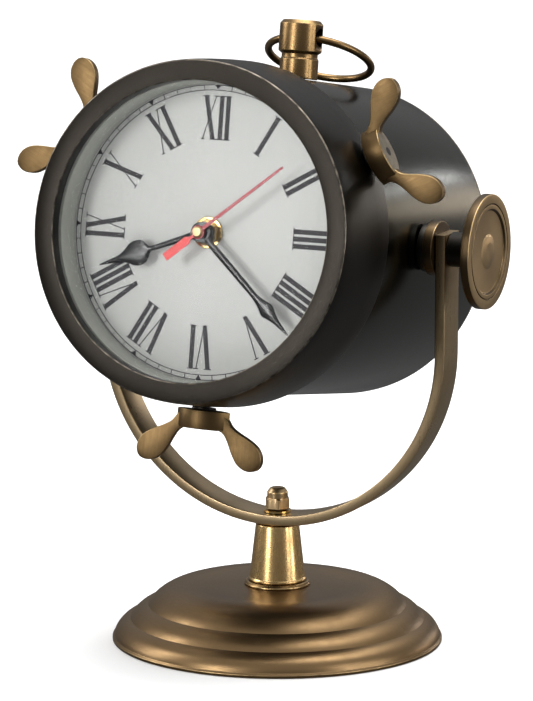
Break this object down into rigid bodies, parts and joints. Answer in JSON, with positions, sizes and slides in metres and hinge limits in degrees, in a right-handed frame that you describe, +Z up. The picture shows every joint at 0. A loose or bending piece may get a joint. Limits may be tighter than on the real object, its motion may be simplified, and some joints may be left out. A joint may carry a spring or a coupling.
{
  "type": "ships deck clock",
  "caption": "Drum-cased deck clock with a Roman dial, front ring with wing nuts, lifting ring and tilting case in a yoke on a round stepped stand.",
  "frame": {"origin": "centre of the stand's underside, on the felt pad", "axes": "+Z up, the dial looks towards -Y tilted a little upward, +X is the right-hand side seen from the dial side"},
  "size_m": [0.2282, 0.2138, 0.3138],
  "materials": {
    "felt": "matt green felt",
    "stand_bronze": "satin antique bronze",
    "cast_iron": "rough cast",
    "steel": "plain",
    "aged_brass": "aged brass, brushed and lacquered",
    "movement_brass": "bright",
    "dark_bronze": "dark gunmetal bronze, brushed",
    "glass": "clear",
    "rubber": "matt",
    "grey_paint": "satin grey",
    "dial_paint": "brushed off-white with printed numerals",
    "black_plastic": "moulded",
    "copper": "enamelled copper wire",
    "board": "green laminate",
    "battery_jacket": "plain printed jacket",
    "red_paint": "satin red",
    "hand_black": "satin black",
    "white_plastic": "moulded",
    "dark_iron": "blackened"
  },
  "bodies": {
    "stand": {"felt_pad": "felt", "base_shell": "stand_bronze", "base_weight": "cast_iron", "base_washer": "steel", "base_nut": "steel", "post_collar": "aged_brass", "post": "aged_brass", "tie_rod": "steel", "yoke": "aged_brass", "yoke_washer": "movement_brass", "acorn_nut": "aged_brass"},
    "head": {"front_ring": "dark_bronze", "case_drum": "dark_bronze", "crystal": "glass", "glass_gasket": "rubber", "spacer_ring": "grey_paint", "dial": "dial_paint", "wing_stud_top_right": "dark_iron", "wing_stud_top_left": "dark_iron", "wing_stud_bottom": "dark_iron", "pivot_nut_right": "steel", "pivot_nut_left": "steel", "pivot_washer_right": "dark_iron", "pivot_washer_left": "dark_iron", "pivot_spacer_right": "aged_brass", "pivot_spacer_left": "aged_brass", "ring_boss": "aged_brass", "boss_nut": "steel", "movement_housing": "black_plastic", "movement_cover": "black_plastic", "rubber_washer": "rubber", "fixing_washer": "movement_brass", "fixing_nut": "movement_brass", "motor_stator": "steel", "motor_coil": "copper", "circuit_board": "board", "battery_contact_bottom": "steel", "battery_contact_top": "steel"},
    "rear_cover": {"rear_cover": "dark_bronze"},
    "battery": {"battery": "battery_jacket"},
    "tilt_knob_right": {"tilt_knob_right": "aged_brass"},
    "tilt_knob_left": {"tilt_knob_left": "aged_brass"},
    "wing_nut_top_right": {"wing_nut_top_right": "aged_brass"},
    "wing_nut_top_left": {"wing_nut_top_left": "aged_brass"},
    "wing_nut_bottom": {"wing_nut_bottom": "aged_brass"},
    "hanging_ring": {"hanging_ring": "aged_brass"},
    "seconds": {"second_hand": "red_paint", "second_wheel": "movement_brass"},
    "minutes": {"minute_hand": "hand_black", "minute_wheel": "movement_brass"},
    "hours": {"hour_hand": "hand_black", "hour_wheel": "movement_brass"},
    "third_wheel": {"third_wheel": "movement_brass"},
    "intermediate_wheel": {"intermediate_wheel": "movement_brass"},
    "setting_knob": {"setting_knob": "white_plastic"},
    "fifth_wheel": {"fifth_wheel": "white_plastic"},
    "motor_rotor": {"motor_rotor": "steel"}
  },
  "joints": [
    {"name": "head_tilt", "type": "hinge", "parent": "stand", "child": "head", "pos_m": [0, 0, 0.2066], "axis": [-1, 0, 0], "range_deg": [-28, 34]},
    {"name": "rear_cover_pull", "type": "slide", "parent": "head", "child": "rear_cover", "axis": [0, 0.9865, -0.164], "range_m": [0, 0.06]},
    {"name": "battery_pull", "type": "slide", "parent": "head", "child": "battery", "axis": [0, 0.9865, -0.164], "range_m": [0, 0.03]},
    {"name": "tilt_knob_right_turn", "type": "hinge", "parent": "head", "child": "tilt_knob_right", "pos_m": [0.11, 0, 0.2066], "axis": [1, 0, 0], "continuous": true},
    {"name": "tilt_knob_left_turn", "type": "hinge", "parent": "head", "child": "tilt_knob_left", "pos_m": [-0.11, 0, 0.2066], "axis": [-1, 0, 0], "continuous": true},
    {"name": "wing_nut_top_right_turn", "type": "hinge", "parent": "head", "child": "wing_nut_top_right", "pos_m": [0.08035, -0.05859, 0.25965], "axis": [0.8829, 0.077, 0.4631], "continuous": true},
    {"name": "wing_nut_top_left_turn", "type": "hinge", "parent": "head", "child": "wing_nut_top_left", "pos_m": [-0.07959, -0.05836, 0.26103], "axis": [-0.8746, 0.0795, 0.4782], "continuous": true},
    {"name": "wing_nut_bottom_turn", "type": "hinge", "parent": "head", "child": "wing_nut_bottom", "pos_m": [-0.00318, -0.08052, 0.12779], "axis": [-0.0349, -0.1639, -0.9859], "continuous": true},
    {"name": "hanging_ring_swing", "type": "hinge", "parent": "head", "child": "hanging_ring", "pos_m": [0, 0.02735, 0.30403], "axis": [1, 0, 0], "range_deg": [0, 218]},
    {"name": "second_hand_turn", "type": "hinge", "parent": "head", "child": "seconds", "pos_m": [0, -0.07398, 0.2189], "axis": [0, 0.9865, -0.164], "continuous": true},
    {"name": "minute_hand_turn", "type": "hinge", "parent": "head", "child": "minutes", "pos_m": [0, -0.07398, 0.2189], "axis": [0, 0.9865, -0.164], "continuous": true},
    {"name": "hour_hand_turn", "type": "hinge", "parent": "head", "child": "hours", "pos_m": [0, -0.07398, 0.2189], "axis": [0, 0.9865, -0.164], "continuous": true},
    {"name": "third_wheel_turn", "type": "hinge", "parent": "head", "child": "third_wheel", "pos_m": [0.00238, -0.07544, 0.21015], "axis": [0, 0.9865, -0.164], "continuous": true},
    {"name": "intermediate_wheel_turn", "type": "hinge", "parent": "head", "child": "intermediate_wheel", "pos_m": [-0.00167, -0.07243, 0.22823], "axis": [0, 0.9865, -0.164], "continuous": true},
    {"name": "setting_knob_turn", "type": "hinge", "parent": "head", "child": "setting_knob", "pos_m": [-0.01102, -0.07155, 0.23355], "axis": [0, 0.9865, -0.164], "continuous": true},
    {"name": "fifth_wheel_turn", "type": "hinge", "parent": "head", "child": "fifth_wheel", "pos_m": [-0.00653, -0.07506, 0.21246], "axis": [0, 0.9865, -0.164], "continuous": true},
    {"name": "rotor_turn", "type": "hinge", "parent": "head", "child": "motor_rotor", "pos_m": [-0.01265, -0.07506, 0.21246], "axis": [0, 0.9865, -0.164], "continuous": true}
  ],
  "couplings": [
    {"joint": "third_wheel_turn", "follows": "second_hand_turn", "ratio": -0.13333},
    {"joint": "minute_hand_turn", "follows": "second_hand_turn", "ratio": 0.016667},
    {"joint": "intermediate_wheel_turn", "follows": "second_hand_turn", "ratio": -0.0055556},
    {"joint": "hour_hand_turn", "follows": "second_hand_turn", "ratio": 0.0013889},
    {"joint": "setting_knob_turn", "follows": "second_hand_turn", "ratio": 0.011111},
    {"joint": "fifth_wheel_turn", "follows": "second_hand_turn", "ratio": -6},
    {"joint": "rotor_turn", "follows": "second_hand_turn", "ratio": 30}
  ]
}
